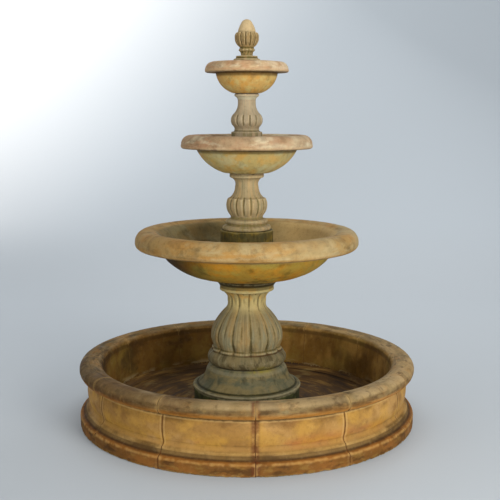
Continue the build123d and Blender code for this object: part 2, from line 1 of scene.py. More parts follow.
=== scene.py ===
"""Looks of the tiered garden fountain: aged cast stone meshes and procedural materials.

Units are metres in the CAD frame: +Z up, origin on the ground, front at -Y.
"""
import math

import bmesh
import bpy
import numpy as np
from mathutils import Matrix


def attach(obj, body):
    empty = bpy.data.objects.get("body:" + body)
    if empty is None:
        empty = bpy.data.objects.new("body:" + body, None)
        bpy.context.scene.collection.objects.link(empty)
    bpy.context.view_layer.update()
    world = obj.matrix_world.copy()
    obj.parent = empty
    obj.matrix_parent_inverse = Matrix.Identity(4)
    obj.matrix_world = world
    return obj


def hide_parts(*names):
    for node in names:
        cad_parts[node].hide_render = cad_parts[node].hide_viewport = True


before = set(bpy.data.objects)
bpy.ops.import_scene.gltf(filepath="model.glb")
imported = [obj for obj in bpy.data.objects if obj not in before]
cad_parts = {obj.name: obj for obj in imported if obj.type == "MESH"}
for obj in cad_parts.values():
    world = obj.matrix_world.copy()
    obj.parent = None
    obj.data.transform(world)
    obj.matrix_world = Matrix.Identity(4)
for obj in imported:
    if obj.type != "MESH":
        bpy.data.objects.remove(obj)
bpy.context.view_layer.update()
FIXED = "fountain"


# ------------------------------------------------------------------ camera
LENS = 66.6432  # focal length in millimetres, on a sensor of 36 mm
SENSOR = 36.0
CAMERA_DISTANCE = 4.948
EYE_HEIGHT = 1.661
CAMERA_PITCH = math.radians(8.51)
CAMERA_SHIFT = 0.0064


def add_camera():
    """Standing eye level in front of the fountain, looking slightly down."""
    data = bpy.data.cameras.new("camera")
    data.sensor_width = SENSOR
    data.lens = LENS
    data.shift_x = CAMERA_SHIFT
    data.clip_end = 60
    camera = bpy.data.objects.new("camera", data)
    camera.location = (0, -CAMERA_DISTANCE, EYE_HEIGHT)
    camera.rotation_euler = (math.pi / 2 - CAMERA_PITCH, 0, 0)
    bpy.context.scene.collection.objects.link(camera)
    bpy.context.scene.camera = camera


add_camera()


# ------------------------------------------------------------------ colours and node helpers
def rgb(red, green, blue):
    """A colour written as 0-255 screen values, turned into linear light."""
    channels = []
    for value in (red, green, blue):
        share = value / 255
        low = share / 12.92
        channels.append(low if share <= 0.04045 else ((share + 0.055) / 1.055) ** 2.4)
    return (*channels, 1.0)


OTHER_PLACE = (7.3, 2.9, 4.1)  # shift of a second noise pattern, so that it differs from the first


class Shader:
    """Small builder for one procedural material; every method returns an output socket."""

    def __init__(self, name):
        self.material = bpy.data.materials.new(name)
        self.material.use_nodes = True
        self.tree = self.material.node_tree
        self.surface = self.tree.nodes["Principled BSDF"]
        self.place = self.tree.nodes.new("ShaderNodeTexCoord").outputs["Object"]
        split = self.node("ShaderNodeSeparateXYZ", {"Vector": self.place})
        self.x, self.y, self.height = split.outputs
        flat = self.node("ShaderNodeCombineXYZ", {"X": self.x, "Y": self.y})
        length = self.node("ShaderNodeVectorMath", {0: flat.outputs[0]}, operation="LENGTH")
        self.radius = length.outputs["Value"]
        turn = self.node("ShaderNodeVectorMath", {0: flat.outputs[0]}, operation="NORMALIZE")
        self.turn = turn.outputs["Vector"]
        moved = self.node("ShaderNodeVectorMath", {0: self.place, 1: OTHER_PLACE}, operation="ADD")
        self.shifted = moved.outputs["Vector"]

    def node(self, kind, inputs=None, **settings):
        made = self.tree.nodes.new(kind)
        for key, value in settings.items():
            setattr(made, key, value)
        for key, value in (inputs or {}).items():
            self.feed(made.inputs[key], value)
        return made

    def feed(self, socket, value):
        if isinstance(value, bpy.types.NodeSocket):
            self.tree.links.new(value, socket)
        else:
            socket.default_value = value

    def math(self, operation, first, second=0.0):
        return self.node("ShaderNodeMath", {0: first, 1: second}, operation=operation).outputs[0]

    def times(self, first, second):
        return self.math("MULTIPLY", first, second)

    def ramp(self, value, low, high):
        """0 below low, 1 above high, smooth between; high may be under low to invert."""
        inputs = {"Value": value, "From Min": low, "From Max": high}
        made = self.node("ShaderNodeMapRange", inputs, interpolation_type="SMOOTHSTEP")
        return made.outputs["Result"]

    def band(self, value, middle, half, soft):
        """1 within half of the middle value, fading to 0 over the soft width."""
        away = self.math("ABSOLUTE", self.math("SUBTRACT", value, middle))
        return self.ramp(away, half + soft, half)

    def mix(self, share, first, second, blend="MIX"):
        made = self.node("ShaderNodeMix", {"Factor": share}, data_type="RGBA", blend_type=blend)
        self.feed(made.inputs[6], first)
        self.feed(made.inputs[7], second)
        return made.outputs[2]

    def noise(self, scale, detail=4.0, roughness=0.55, vector=None):
        inputs = {
            "Vector": vector or self.place,
            "Scale": scale,
            "Detail": detail,
            "Roughness": roughness,
        }
        return self.node("ShaderNodeTexNoise", inputs).outputs["Fac"]

    def around(self, across, up, seed, detail=4.0, roughness=0.54):
        """Noise wrapped round the axis: `across` lumps per radian and `up` lumps per metre."""
        rise = self.math("ADD", self.height, self.times(self.radius, 0.8))
        lift = self.node("ShaderNodeCombineXYZ", {"X": seed, "Z": self.times(rise, up)})
        inputs = {0: self.turn, 1: (across, across, across), 2: lift.outputs[0]}
        made = self.node("ShaderNodeVectorMath", inputs, operation="MULTIPLY_ADD")
        return self.noise(1.0, detail, roughness, made.outputs["Vector"])

    def cloud(self, across, up, seed, low=0.45, high=0.62):
        """Patches of stain: 1 inside a patch, 0 outside."""
        return self.ramp(self.around(across, up, seed), low, high)

    def pits(self, scale):
        """Small round holes: 1 in a hole, 0 elsewhere."""
        inputs = {"Vector": self.place, "Scale": scale}
        distance = self.node("ShaderNodeTexVoronoi", inputs).outputs["Distance"]
        return self.ramp(distance, 0.28, 0.12)

    def joint_distance(self, first_degrees, count):
        """Angle from the nearest of some evenly spaced joints round the axis, in radians."""
        angle = self.math("ARCTAN2", self.x, self.times(self.y, -1.0))
        turned = self.math("SUBTRACT", angle, math.radians(first_degrees))
        return self.math("PINGPONG", turned, math.pi / count)

    def upward(self):
        normal = self.node("ShaderNodeNewGeometry").outputs["Normal"]
        return self.node("ShaderNodeSeparateXYZ", {"Vector": normal}).outputs["Z"]

    def attribute(self, name):
        return self.node("ShaderNodeAttribute", attribute_name=name).outputs["Fac"]

    def stain(self, colour, *coats):
        """Lay coats over a colour, each (tint, mask, strength)."""
        for tint, mask, strength in coats:
            colour = self.mix(self.times(mask, strength), colour, tint)
        return colour

    def bump(self, *layers):
        """Stack bumps: each layer is (height, strength, distance)."""
        normal = None
        for height, strength, distance in layers:
            inputs = {"Height": height, "Strength": strength, "Distance": distance}
            if normal is not None:
                inputs["Normal"] = normal
            normal = self.node("ShaderNodeBump", inputs).outputs["Normal"]
        self.feed(self.surface.inputs["Normal"], normal)

    def finish(self, colour, roughness, **fixed):
        self.feed(self.surface.inputs["Base Color"], colour)
        self.feed(self.surface.inputs["Roughness"], roughness)
        for key, value in fixed.items():
            self.feed(self.surface.inputs[key.replace("_", " ")], value)
        return self.material


# ------------------------------------------------------------------ stone materials
HOLLOW = "hollow"
EDGE = "edge"
JOINTS = (2.6, 12)  # curb joints: the angle of one from the front in degrees, and how many
SHADOW_TINT = (0.45, 0.42, 0.38, 1)
DUST_TINT = (0.16, 0.13, 0.07, 1)
POOL_SHADE = (0.6, 0.5, 0.34, 1)
BOWL_SHADE = (0.7, 0.62, 0.54, 1)
BAND_TOP = 0.07  # heights on the curb: the base band's top, the wall's foot and the rim's foot
WALL_FOOT = 0.102
RIM_FOOT = 0.266


def stone_detail(shader, colour, darkening, grime_depth=0.8, edge_colour=None, edge_share=0.35):
    """Crevice grime, rubbed edges, grain, pits and hairline unevenness shared by every stone."""
    patch = shader.noise(26, 5, 0.6)
    crevice = shader.math("ADD", shader.attribute(HOLLOW), shader.times(patch, 0.25))
    colour = shader.stain(colour, (darkening, shader.ramp(crevice, 0.22, 0.8), grime_depth))
    if edge_colour:
        rubbed = shader.math("ADD", shader.attribute(EDGE), shader.times(patch, 0.5))
        colour = shader.stain(colour, (edge_colour, shader.ramp(rubbed, 0.5, 1.05), edge_share))
    sparse = shader.ramp(shader.noise(9, 2), 0.55, 0.68)
    holes = shader.times(shader.pits(150), sparse)
    colour = shader.stain(colour, (darkening, holes, 0.45))
    scumble = shader.ramp(shader.noise(44, 7, 0.78), 0.46, 0.72)
    colour = shader.mix(shader.times(scumble, 0.45), colour, SHADOW_TINT, "MULTIPLY")
    dust = shader.ramp(shader.noise(31, 7, 0.75, shader.shifted), 0.52, 0.72)
    colour = shader.mix(shader.times(dust, 0.25), colour, DUST_TINT, "SCREEN")
    speckle = shader.ramp(shader.noise(420, 3, 0.7), 0.35, 0.7)
    colour = shader.mix(shader.times(speckle, 0.12), colour, SHADOW_TINT, "MULTIPLY")
    solid = shader.math("SUBTRACT", 1.0, holes)
    shader.bump(
        (shader.noise(38, 4, 0.55), 0.35, 0.004),
        (shader.noise(260, 6, 0.7), 0.4, 0.0012),
        (solid, 0.6, 0.0016))
    roughness = shader.ramp(shader.noise(15, 5), -0.6, 1.0)
    return shader.finish(colour, roughness, Specular_IOR_Level=0.14)


def pool_wall(s):
    """Ochre wall of the pool: reddish and golden patches low down, browner above, a paler foot."""
    low = s.ramp(s.height, 0.2, 0.125)
    return s.stain(
        rgb(150, 112, 58),
        (rgb(186, 146, 88), s.cloud(2.4, 4, 1, 0.44, 0.62), 0.8),
        (rgb(126, 88, 44), s.cloud(3.8, 7, 2, 0.48, 0.66), 0.7),
        (rgb(190, 146, 66), s.cloud(6, 9, 3, 0.48, 0.64), 0.55),
        (rgb(160, 92, 52), s.times(s.cloud(2.6, 5, 4, 0.48, 0.62), low), 0.7),
        (rgb(188, 142, 54), s.times(s.cloud(4, 8, 5, 0.46, 0.6), low), 0.6),
        (rgb(96, 66, 32), s.times(s.cloud(5, 14, 6, 0.45, 0.62), s.ramp(s.height, 0.195, 0.25)), 0.7),
        (rgb(172, 132, 72), s.ramp(s.height, 0.134, 0.116), 0.6),
        # painted highlight along the wall's top, then painted shadow under the rim's lip
        (rgb(218, 180, 116), s.band(s.height, 0.252, 0.003, 0.008), 0.5),
        (rgb(92, 62, 28), s.band(s.height, 0.264, 0.001, 0.003), 0.5))


def pool_base(s):
    """Orange-brown base band with dark wet streaks, darker along its foot."""
    return s.stain(
        rgb(114, 76, 32),
        (rgb(142, 92, 40), s.cloud(4, 12, 11), 0.7),
        (rgb(72, 48, 22), s.cloud(9, 26, 12, 0.46, 0.62), 0.75),
        (rgb(140, 108, 52), s.cloud(14, 34, 13, 0.52, 0.66), 0.5),
        (rgb(164, 104, 40), s.band(s.height, 0.062, 0.003, 0.012), 0.35),
        # darker towards the bottom, along the foot
        (rgb(58, 38, 16), s.ramp(s.height, 0.014, 0.0), 0.5))


def pool_rim(s):
    """Grey-brown rim in brush-like patches: pale crest in front, darker patches on the left front, painted
    light towards the right, orange lip.
    """
    # darker patches over the left front of the rim
    left_front_dark = s.times(s.band(s.joint_distance(-40, 1), 0.0, 0.3, 0.3), s.cloud(4, 20, 26, 0.3, 0.6))
    front = s.times(s.band(s.joint_distance(0, 1), 0.0, 1.0, 0.3), s.cloud(5, 24, 29, 0.3, 0.55))
    shoulder = s.times(s.cloud(7, 30, 28, 0.36, 0.56), s.band(s.height, 0.304, 0.006, 0.010))
    lip = s.times(s.cloud(7, 30, 25, 0.44, 0.6), s.band(s.height, 0.292, 0.004, 0.014))
    return s.stain(
        rgb(124, 104, 68),
        (rgb(168, 140, 94), s.cloud(3.0, 16, 21, 0.45, 0.64), 0.8),
        (rgb(72, 55, 32), s.cloud(5, 30, 22, 0.47, 0.64), 0.75),
        (rgb(150, 108, 52), s.cloud(7, 22, 23, 0.5, 0.66), 0.55),
        (rgb(104, 100, 74), s.cloud(11, 36, 24, 0.52, 0.66), 0.45),
        # painted light: the rim paler towards the right
        (rgb(188, 160, 114), s.ramp(s.x, 0.35, 0.85), 0.25),
        (rgb(190, 164, 120), s.times(s.ramp(s.height, 0.312, 0.327), front), 0.36),
        (rgb(74, 50, 22), left_front_dark, 0.7),
        (rgb(88, 62, 32), shoulder, 0.6),
        (rgb(62, 46, 26), s.cloud(15, 70, 27, 0.55, 0.68), 0.55),
        (rgb(176, 116, 42), s.ramp(s.height, 0.302, 0.278), 0.75),
        (rgb(88, 54, 20), lip, 0.6))


def pool_inside(s):
    """Dark brown wetted inside, its darkness partly painted shade, olive on the left, with ochre runs
    towards the right-hand back.
    """
    right = s.ramp(s.x, -0.3, 0.5)
    return s.stain(
        rgb(112, 80, 30),
        (rgb(168, 128, 64), s.times(s.cloud(5, 4, 31, 0.42, 0.64), right), 0.75),
        (rgb(128, 108, 46), s.cloud(4, 5, 32, 0.46, 0.66), 0.5),
        # dark patches towards the left, partly painted shade
        (rgb(46, 28, 10), s.times(s.cloud(3.4, 6, 33, 0.42, 0.62), s.ramp(s.x, 0.3, -0.2)), 0.7),
        (rgb(80, 54, 20), s.cloud(8, 7, 34, 0.48, 0.66), 0.5),
        (rgb(66, 46, 18), s.band(s.height, 0.3, 0.006, 0.012), 0.5),
        (rgb(158, 142, 106), s.times(s.cloud(5, 30, 35, 0.5, 0.6), s.ramp(s.height, 0.13, 0.1)), 0.5))


def pool_material():
    """Curb stones: the base band, the ledge over it, the wall, the rim and the inside."""
    s = Shader("pool_cast_stone")
    ledge = s.stain(
        rgb(150, 116, 62),
        (rgb(178, 144, 88), s.cloud(6, 30, 41), 0.6),
        (rgb(84, 60, 28), s.cloud(5, 26, 42, 0.46, 0.64), 0.7))
    colour = s.mix(s.ramp(s.height, WALL_FOOT + 0.01, WALL_FOOT), pool_wall(s), ledge)
    colour = s.mix(s.ramp(s.height, BAND_TOP + 0.008, BAND_TOP), colour, pool_base(s))
    colour = s.mix(s.ramp(s.height, RIM_FOOT, RIM_FOOT + 0.004), colour, pool_rim(s))
    away = s.joint_distance(*JOINTS)
    ragged = s.math("ADD", away, s.times(s.noise(30, 5), -0.012))
    front = s.band(s.joint_distance(JOINTS[0], 1), 0.0, 0.012, 0.02)
    above_foot = s.ramp(s.height, 0.1, 0.12)
    below_rim = s.ramp(s.height, 0.275, 0.262)
    upright = s.math("ADD", 0.2, s.times(s.times(above_foot, below_rim), 0.8))
    colour = s.stain(
        colour,
        (rgb(206, 170, 110), s.times(upright, s.band(away, 0.012, 0.002, 0.006)), 0.3),
        (rgb(74, 42, 18), s.times(upright, s.ramp(ragged, 0.003, -0.006)), 0.6),
        (rgb(92, 42, 18), s.times(front, s.cloud(14, 20, 43, 0.3, 0.6)), 0.75))
    inner = s.times(s.ramp(s.radius, 0.812, 0.79), s.ramp(s.height, 0.336, 0.316))
    colour = s.mix(inner, colour, pool_inside(s))
    depth = s.math("ADD", 0.12, s.times(s.ramp(s.height, RIM_FOOT, RIM_FOOT + 0.014), 0.45))
    shade = s.times(s.ramp(s.x, 0.1, -0.9), depth)
    colour = s.mix(shade, colour, POOL_SHADE, "MULTIPLY")
    colour = s.stain(colour, (rgb(66, 46, 22), s.band(s.height, 0.08, 0.008, 0.006), 0.6))
    # the hollow at the wall's foot holds less grime than the other hollows
    foot = s.times(s.band(s.height, 0.112, 0.014, 0.008), 0.6)
    grime_depth = s.math("SUBTRACT", 0.75, foot)
    return stone_detail(s, colour, rgb(56, 36, 14), grime_depth, rgb(212, 174, 104), 0.4)


def floor_material():
    """Dark brown slab with circular brush marks and paler dried mineral patches, and a painted shadow by
    the near left wall.
    """
    s = Shader("pool_floor_stone")
    brushed = s.around(2.2, 26, 51, 6, 0.65)
    # painted shadow: the floor darker by the foot of the near left wall
    damp_and_shadow = s.times(s.band(s.joint_distance(-45, 1), 0.0, 0.3, 0.3), s.ramp(s.radius, 0.55, 0.78))
    colour = s.stain(
        rgb(84, 58, 22),
        (rgb(138, 104, 50), s.ramp(brushed, 0.5, 0.64), 0.8),
        (rgb(36, 22, 8), s.ramp(brushed, 0.48, 0.36), 0.8),
        (rgb(44, 28, 10), s.cloud(2, 4, 52, 0.46, 0.62), 0.5),
        (rgb(142, 122, 74), s.cloud(5, 12, 53, 0.56, 0.68), 0.4),
        (rgb(22, 14, 6), damp_and_shadow, 0.8))
    s.bump((brushed, 0.5, 0.004), (s.noise(200, 5, 0.7), 0.4, 0.001))
    return s.finish(colour, s.ramp(brushed, -0.8, 0.9), Specular_IOR_Level=0.3)


def mortar_material():
    """Sandy mortar: pale on the rim, dark in the wall, base and inside like the stone beside it."""
    s = Shader("joint_mortar")
    sand = s.stain(rgb(80, 46, 20), (rgb(116, 76, 38), s.noise(60, 5, 0.7), 0.6))
    top = s.stain(rgb(140, 116, 76), (rgb(84, 62, 34), s.noise(24, 5, 0.7), 0.8))
    # painted shade: the rim's mortar darker towards the left
    top = s.mix(s.ramp(s.x, 0.0, -0.5), top, rgb(92, 72, 44))
    colour = s.mix(s.ramp(s.height, 0.27, 0.3), sand, top)
    colour = s.mix(s.ramp(s.height, 0.09, 0.07), colour, rgb(84, 46, 20))
    colour = s.mix(s.ramp(s.radius, 0.81, 0.79), colour, rgb(92, 64, 24))
    s.bump((s.noise(240, 5, 0.7), 0.5, 0.001))
    return s.finish(colour, s.ramp(s.noise(30, 4), -1.0, 1.0), Specular_IOR_Level=0.2)


def pedestal_material(name, tones, across=10.0, up=5.0):
    """Stone of one pedestal: vertical runs of stain over broad patches.

    tones holds the main, warm, cool and dark colours and the moss.
    """
    main, warm, cool, dark, moss = tones
    s = Shader(name)
    damp_and_shadow = s.math("ADD", s.attribute(HOLLOW), s.times(s.noise(9, 6, 0.7), 0.9))
    colour = s.stain(
        main,
        (warm, s.cloud(across * 0.35, up * 2.5, 61), 0.75),
        (cool, s.cloud(across * 0.6, up * 1.5, 62, 0.48, 0.64), 0.7),
        (dark, s.cloud(across, up, 63, 0.52, 0.68), 0.45),
        (warm, s.cloud(across * 1.6, up, 64, 0.54, 0.68), 0.5),
        (moss, s.ramp(damp_and_shadow, 0.66, 1.0), 0.5))
    return s, colour


def bowl_material(name, rim, under, inside, darkening, low, high, inner_radius, span, left_darkening):
    """A bowl: pale rim brushed along its length, strongly stained underside, dark wet inside.

    rim, under and inside each hold the main, warm, pale and dark colours; low and high are the
    rim's heights, span is about the rim's radius, and left_darkening darkens the underside's left.
    """
    s = Shader(name)
    reach = 1.0 / span

    def brushed(tones, seed, across, up):
        main, warm, light, dark = tones
        return s.stain(
            main,
            (warm, s.cloud(across, up, seed), 0.7),
            (light, s.cloud(across * 1.3, up * 1.2, seed + 1, 0.48, 0.64), 0.7),
            (dark, s.cloud(across * 1.7, up * 1.4, seed + 2, 0.52, 0.68), 0.5),
            (warm, s.cloud(across * 3, up * 2.2, seed + 3, 0.54, 0.68), 0.45))

    # painted light: the underside and the rim paler towards the right
    right = s.ramp(s.x, 0.0, 0.8 * span)
    colour = s.stain(brushed(under, 71, 2.4, 3 * reach), (under[2], right, 0.2))
    wander = s.times(s.math("SUBTRACT", s.noise(9, 4), 0.5), 0.008)
    edge = s.math("ADD", s.height, wander)
    mottle = s.ramp(s.noise(14, 7, 0.66), 0.47, 0.66)
    top = s.stain(
        brushed(rim, 81, 2.6, 13 * reach),
        (rim[3], mottle, 0.45),
        (rim[1], s.ramp(s.noise(19, 7, 0.66, s.shifted), 0.5, 0.68), 0.4),
        (rim[2], s.times(right, s.cloud(2, 6 * reach, 85, 0.35, 0.6)), 0.7))
    colour = s.mix(s.ramp(edge, low - 0.003, low + 0.004), colour, top)
    colour = s.stain(
        colour,
        (rim[1], s.band(s.height, low + 0.008, 0.003, 0.012), 0.5),
        # painted shadow: a dark line just under the rim
        (darkening, s.band(s.height, low - 0.006, 0.005, 0.014), 0.7))
    inner = s.times(s.ramp(s.radius, inner_radius, inner_radius - 0.03), s.ramp(s.upward(), -0.4, -0.1))
    inner = s.times(inner, s.ramp(s.height, high, high - 0.02))
    bottom = brushed(inside, 91, 3.6, 5 * reach)
    bottom = s.stain(bottom, (rgb(204, 172, 114), s.ramp(s.x, 0.1 * span, 0.5 * span), 0.85))
    colour = s.mix(inner, colour, bottom)
    # the underside darker on the left
    left = s.times(s.ramp(s.x, -0.2 * span, -0.65 * span), s.ramp(s.height, low, low - 0.01))
    colour = s.stain(colour, (under[3], left, left_darkening))
    shade = s.times(s.ramp(s.x, 0.3 * span, -0.9 * span), s.ramp(s.height, low - 0.004, low + 0.002))
    colour = s.mix(s.times(shade, 0.22), colour, BOWL_SHADE, "MULTIPLY")
    return stone_detail(s, colour, darkening, 0.8, rgb(220, 196, 146), 0.4)


# ------------------------------------------------------------------ stone meshes
def lattice(cells, seed):
    """Repeatable random number from 0 to 1 for each whole-number lattice point.

    Large whole numbers scramble the point's bits, so that neighbours get unlike numbers.
    """
    mixed = cells[..., 0] * 73856093 ^ cells[..., 1] * 19349663 ^ cells[..., 2] * 83492791
    mixed = mixed ^ seed * 2654435761
    mixed = (mixed ^ (mixed >> 13)) * 1274126177 & 0xFFFFFFFF
    return ((mixed ^ (mixed >> 16)) & 0xFFFF) / 65535.0


def value_noise(points, size, seed):
    """Smooth noise from 0 to 1 at each point; size is the width of one lump in metres."""
    scaled = points / size
    corner = np.floor(scaled).astype(np.int64)
    share = scaled - corner
    share = share * share * (3 - 2 * share)
    total = np.zeros(len(points))
    for offset in np.ndindex(2, 2, 2):
        weight = np.prod(np.where(offset, share, 1 - share), axis=1)
        total += weight * lattice(corner + np.array(offset), seed)
    return total


def joined_turns(mesh, turns):
    """One mesh made of copies turned about Z by the given angles in degrees."""
    whole = bmesh.new()
    for turn in turns:
        copy = mesh.copy()
        copy.transform(Matrix.Rotation(math.radians(turn), 4, "Z"))
        whole.from_mesh(copy)
        bpy.data.meshes.remove(copy)
    result = bpy.data.meshes.new("turned_copies")
    whole.to_mesh(result)
    whole.free()
    return result


class StoneMesh:
    """A CAD node remeshed finely, so that its shape can be worn and carved point by point."""

    def __init__(self, node, voxel, turns=(0.0,)):
        copy = bpy.data.objects.new(node + "_copy", joined_turns(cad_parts[node].data, turns))
        bpy.context.scene.collection.objects.link(copy)
        remesh = copy.modifiers.new("remesh", "REMESH")
        remesh.mode = "VOXEL"
        remesh.voxel_size = voxel
        graph = bpy.context.evaluated_depsgraph_get()
        self.mesh = bpy.data.meshes.new_from_object(copy.evaluated_get(graph))
        bpy.data.objects.remove(copy)
        self.mesh.materials.clear()
        self.name = node
        self.voxel = voxel
        self.points = np.zeros(len(self.mesh.vertices) * 3)
        self.mesh.vertices.foreach_get("co", self.points)
        self.points = self.points.reshape(-1, 3)
        self.edges = np.zeros(len(self.mesh.edges) * 2, np.int64)
        self.mesh.edges.foreach_get("vertices", self.edges)
        self.edges = self.edges.reshape(-1, 2)
        ends = np.concatenate([self.edges[:, 0], self.edges[:, 1]])
        self.neighbours = np.maximum(np.bincount(ends, minlength=len(self.points)), 1)

    def averaged(self, values):
        """Mean of each point's neighbours."""
        first, second = self.edges[:, 0], self.edges[:, 1]
        ends = np.concatenate([first, second])
        others = np.concatenate([second, first])
        columns = values if values.ndim == 2 else values[:, None]
        sums = [np.bincount(ends, columns[others, k], len(columns)) for k in range(columns.shape[1])]
        mean = np.stack(sums, axis=1) / self.neighbours[:, None]
        return mean if values.ndim == 2 else mean[:, 0]

    def smooth(self, rounds):
        """Take out the voxel steps without shrinking the shape."""
        for _ in range(rounds):
            for pull in (0.55, -0.57):
                self.points += pull * (self.averaged(self.points) - self.points)

    def soften(self, rounds):
        """Blur the carving, as old paint and weather do."""
        for _ in range(rounds):
            self.points += 0.5 * (self.averaged(self.points) - self.points)

    def normals(self):
        self.mesh.vertices.foreach_set("co", self.points.astype(np.float32).ravel())
        self.mesh.update()
        found = np.zeros(len(self.points) * 3, np.float32)
        self.mesh.vertex_normals.foreach_get("vector", found)
        return found.reshape(-1, 3).astype(float)

    def bend(self, rounds):
        """How far each point lies under (+) or over (-) its smoothed surroundings."""
        flat = self.points
        for _ in range(rounds):
            flat = flat + 0.6 * (self.averaged(flat) - flat)
        return np.einsum("ij,ij->i", flat - self.points, self.normals())

    def fill(self, share, rounds):
        """Make carved hollows shallower; share is 0 to 1 for each point."""
        depth = np.clip(self.bend(rounds), 0, None) * share
        self.points += self.normals() * depth[:, None]

    def wear(self, lumps, chips, seed):
        """Hand-cast unevenness and chipped edges; everything moves inwards only."""
        normals = self.normals()
        corner = np.clip(-self.bend(6) / (self.voxel * 0.35), 0, 1)
        broad = value_noise(self.points, 0.11, seed)
        fine = value_noise(self.points, 0.024, seed + 1)
        bite = value_noise(self.points, 0.03, seed + 2) * value_noise(self.points, 0.011, seed + 3)
        depth = lumps * (0.6 * broad + 0.4 * fine)
        depth += chips * corner * np.clip((bite - 0.3) / 0.35, 0, 1)
        self.points -= normals * depth[:, None]

    def shade_masks(self):
        """Store how hollow and how exposed each point is, for the materials."""
        near = self.bend(5) / (self.voxel * 0.22)
        far = self.bend(22) / (self.voxel * 0.9)
        hollow = np.clip(near * 0.6 + far * 0.6, 0, 1)
        edge = np.clip(-near * 0.6 - far * 0.3, 0, 1)
        for name, values in ((HOLLOW, hollow), (EDGE, edge)):
            spread = self.averaged(self.averaged(values))
            layer = self.mesh.attributes.new(name, "FLOAT", "POINT")
            layer.data.foreach_set("value", spread.astype(np.float32))

    def cut_ends(self):
        """Saw the stone off flat at the ends of its CAD node, which lie on planes through the axis."""
        corners = np.array([vertex.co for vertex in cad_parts[self.name].data.vertices])
        middle = math.atan2(*corners[:, :2].mean(0)[::-1])
        swing = np.arctan2(corners[:, 1], corners[:, 0]) - middle
        swing = (swing + math.pi) % (2 * math.pi) - math.pi
        cut = bmesh.new()
        cut.from_mesh(self.mesh)
        for angle, side in ((middle + swing.min(), -1), (middle + swing.max(), 1)):
            outward = (-side * math.sin(angle), side * math.cos(angle), 0)
            geometry = cut.verts[:] + cut.edges[:] + cut.faces[:]
            made = bmesh.ops.bisect_plane(
                cut, geom=geometry, plane_co=(0, 0, 0), plane_no=outward, clear_outer=True)
            rim = [item for item in made["geom_cut"] if isinstance(item, bmesh.types.BMEdge)]
            bmesh.ops.edgeloop_fill(cut, edges=rim)
            for item in rim:
                item.smooth = False
        cut.to_mesh(self.mesh)
        cut.free()

    def finish(self, material, slot, body=FIXED, sawn=False):
        """Turn it into a piece that stands for its CAD node."""
        self.points[:, 2] = np.maximum(self.points[:, 2], 0)
        self.normals()
        self.shade_masks()
        self.mesh.polygons.foreach_set("use_smooth", [True] * len(self.mesh.polygons))
        if sawn:
            self.cut_ends()
        self.mesh.materials.append(material)
        piece = bpy.data.objects.new(self.name + "_stone", self.mesh)
        bpy.context.scene.collection.objects.link(piece)
        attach(piece, body)
        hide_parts(self.name)


def polar(points):
    """Distance from the fountain's axis, and the angle from the front towards +X."""
    radius = np.hypot(points[:, 0], points[:, 1])
    angle = np.arctan2(points[:, 0], -points[:, 1])
    return radius, angle


def push_in(stone, amount):
    """Move points towards the axis."""
    radius, _ = polar(stone.points)
    stone.points[:, :2] *= (1 - amount / np.maximum(radius, 1e-6))[:, None]


def between_ribs(stone, count, first_degrees):
    """-1 to 1 across each rib, with the ends at its two grooves."""
    _, angle = polar(stone.points)
    phase = (angle - math.radians(first_degrees)) * count / (2 * math.pi)
    return 2 * (phase - np.floor(phase)) - 1


def height_mask(stone, low, high, fade):
    """1 between two heights, fading to 0 over the last stretch inside them."""
    height = stone.points[:, 2]
    return np.clip((height - low) / fade, 0, 1) * np.clip((high - height) / fade, 0, 1)


def round_ribs(stone, ribs, depth, low, high, least_radius, fade=0.012):
    """Round each rib between its grooves, between two heights."""
    across = between_ribs(stone, *ribs)
    dip = 1 - np.sqrt(np.clip(1 - across**2, 0, 1)) ** 0.8
    radius, _ = polar(stone.points)
    push_in(stone, depth * dip * height_mask(stone, low, high, fade) * (radius > least_radius))


def scallop(stone, ribs, depth, edge, reach, least_radius):
    """Round off the ends of the ribs, deepest at the edge height and nothing beyond its reach."""
    across = between_ribs(stone, *ribs)
    near = np.clip(1 - np.abs(stone.points[:, 2] - edge) / reach, 0, 1)
    radius, _ = polar(stone.points)
    push_in(stone, depth * np.abs(across) ** 3 * near * (radius > least_radius))


# ------------------------------------------------------------------ the stone pieces
CURBS = sorted(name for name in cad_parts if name.startswith("pool_curb"))
# ribs of each piece: how many, and the angle of one groove from the front in degrees
LEAVES = (12, 6.5)
MIDDLE_RIBS = (16, -9.7)
UPPER_RIBS = (14, -14.0)
CALYX_RIBS = (14, -6.0)


def build_pool():
    """Curb stones with crisp sawn joints, the mortar between them, the cove and the floor slab."""
    material = pool_material()
    for name in CURBS:
        # turned copies lengthen each stone, which is then sawn off at its true ends
        stone = StoneMesh(name, 0.0055, turns=(-0.6, 0.0, 0.6))
        stone.smooth(3)
        stone.wear(lumps=0.0022, chips=0.004, seed=20)
        stone.finish(material, "pool_stone", sawn=True)
    cover_cad(mortar_material(), "curb_mortar")
    cove = StoneMesh("floor_cove", 0.006)
    cove.smooth(2)
    cove.wear(lumps=0.003, chips=0.0, seed=40)
    cove.finish(floor_material(), "mortar")
    floor = StoneMesh("pool_floor", 0.010)
    floor.wear(lumps=0.003, chips=0.0, seed=41)
    floor.finish(floor_material(), "floor_stone")


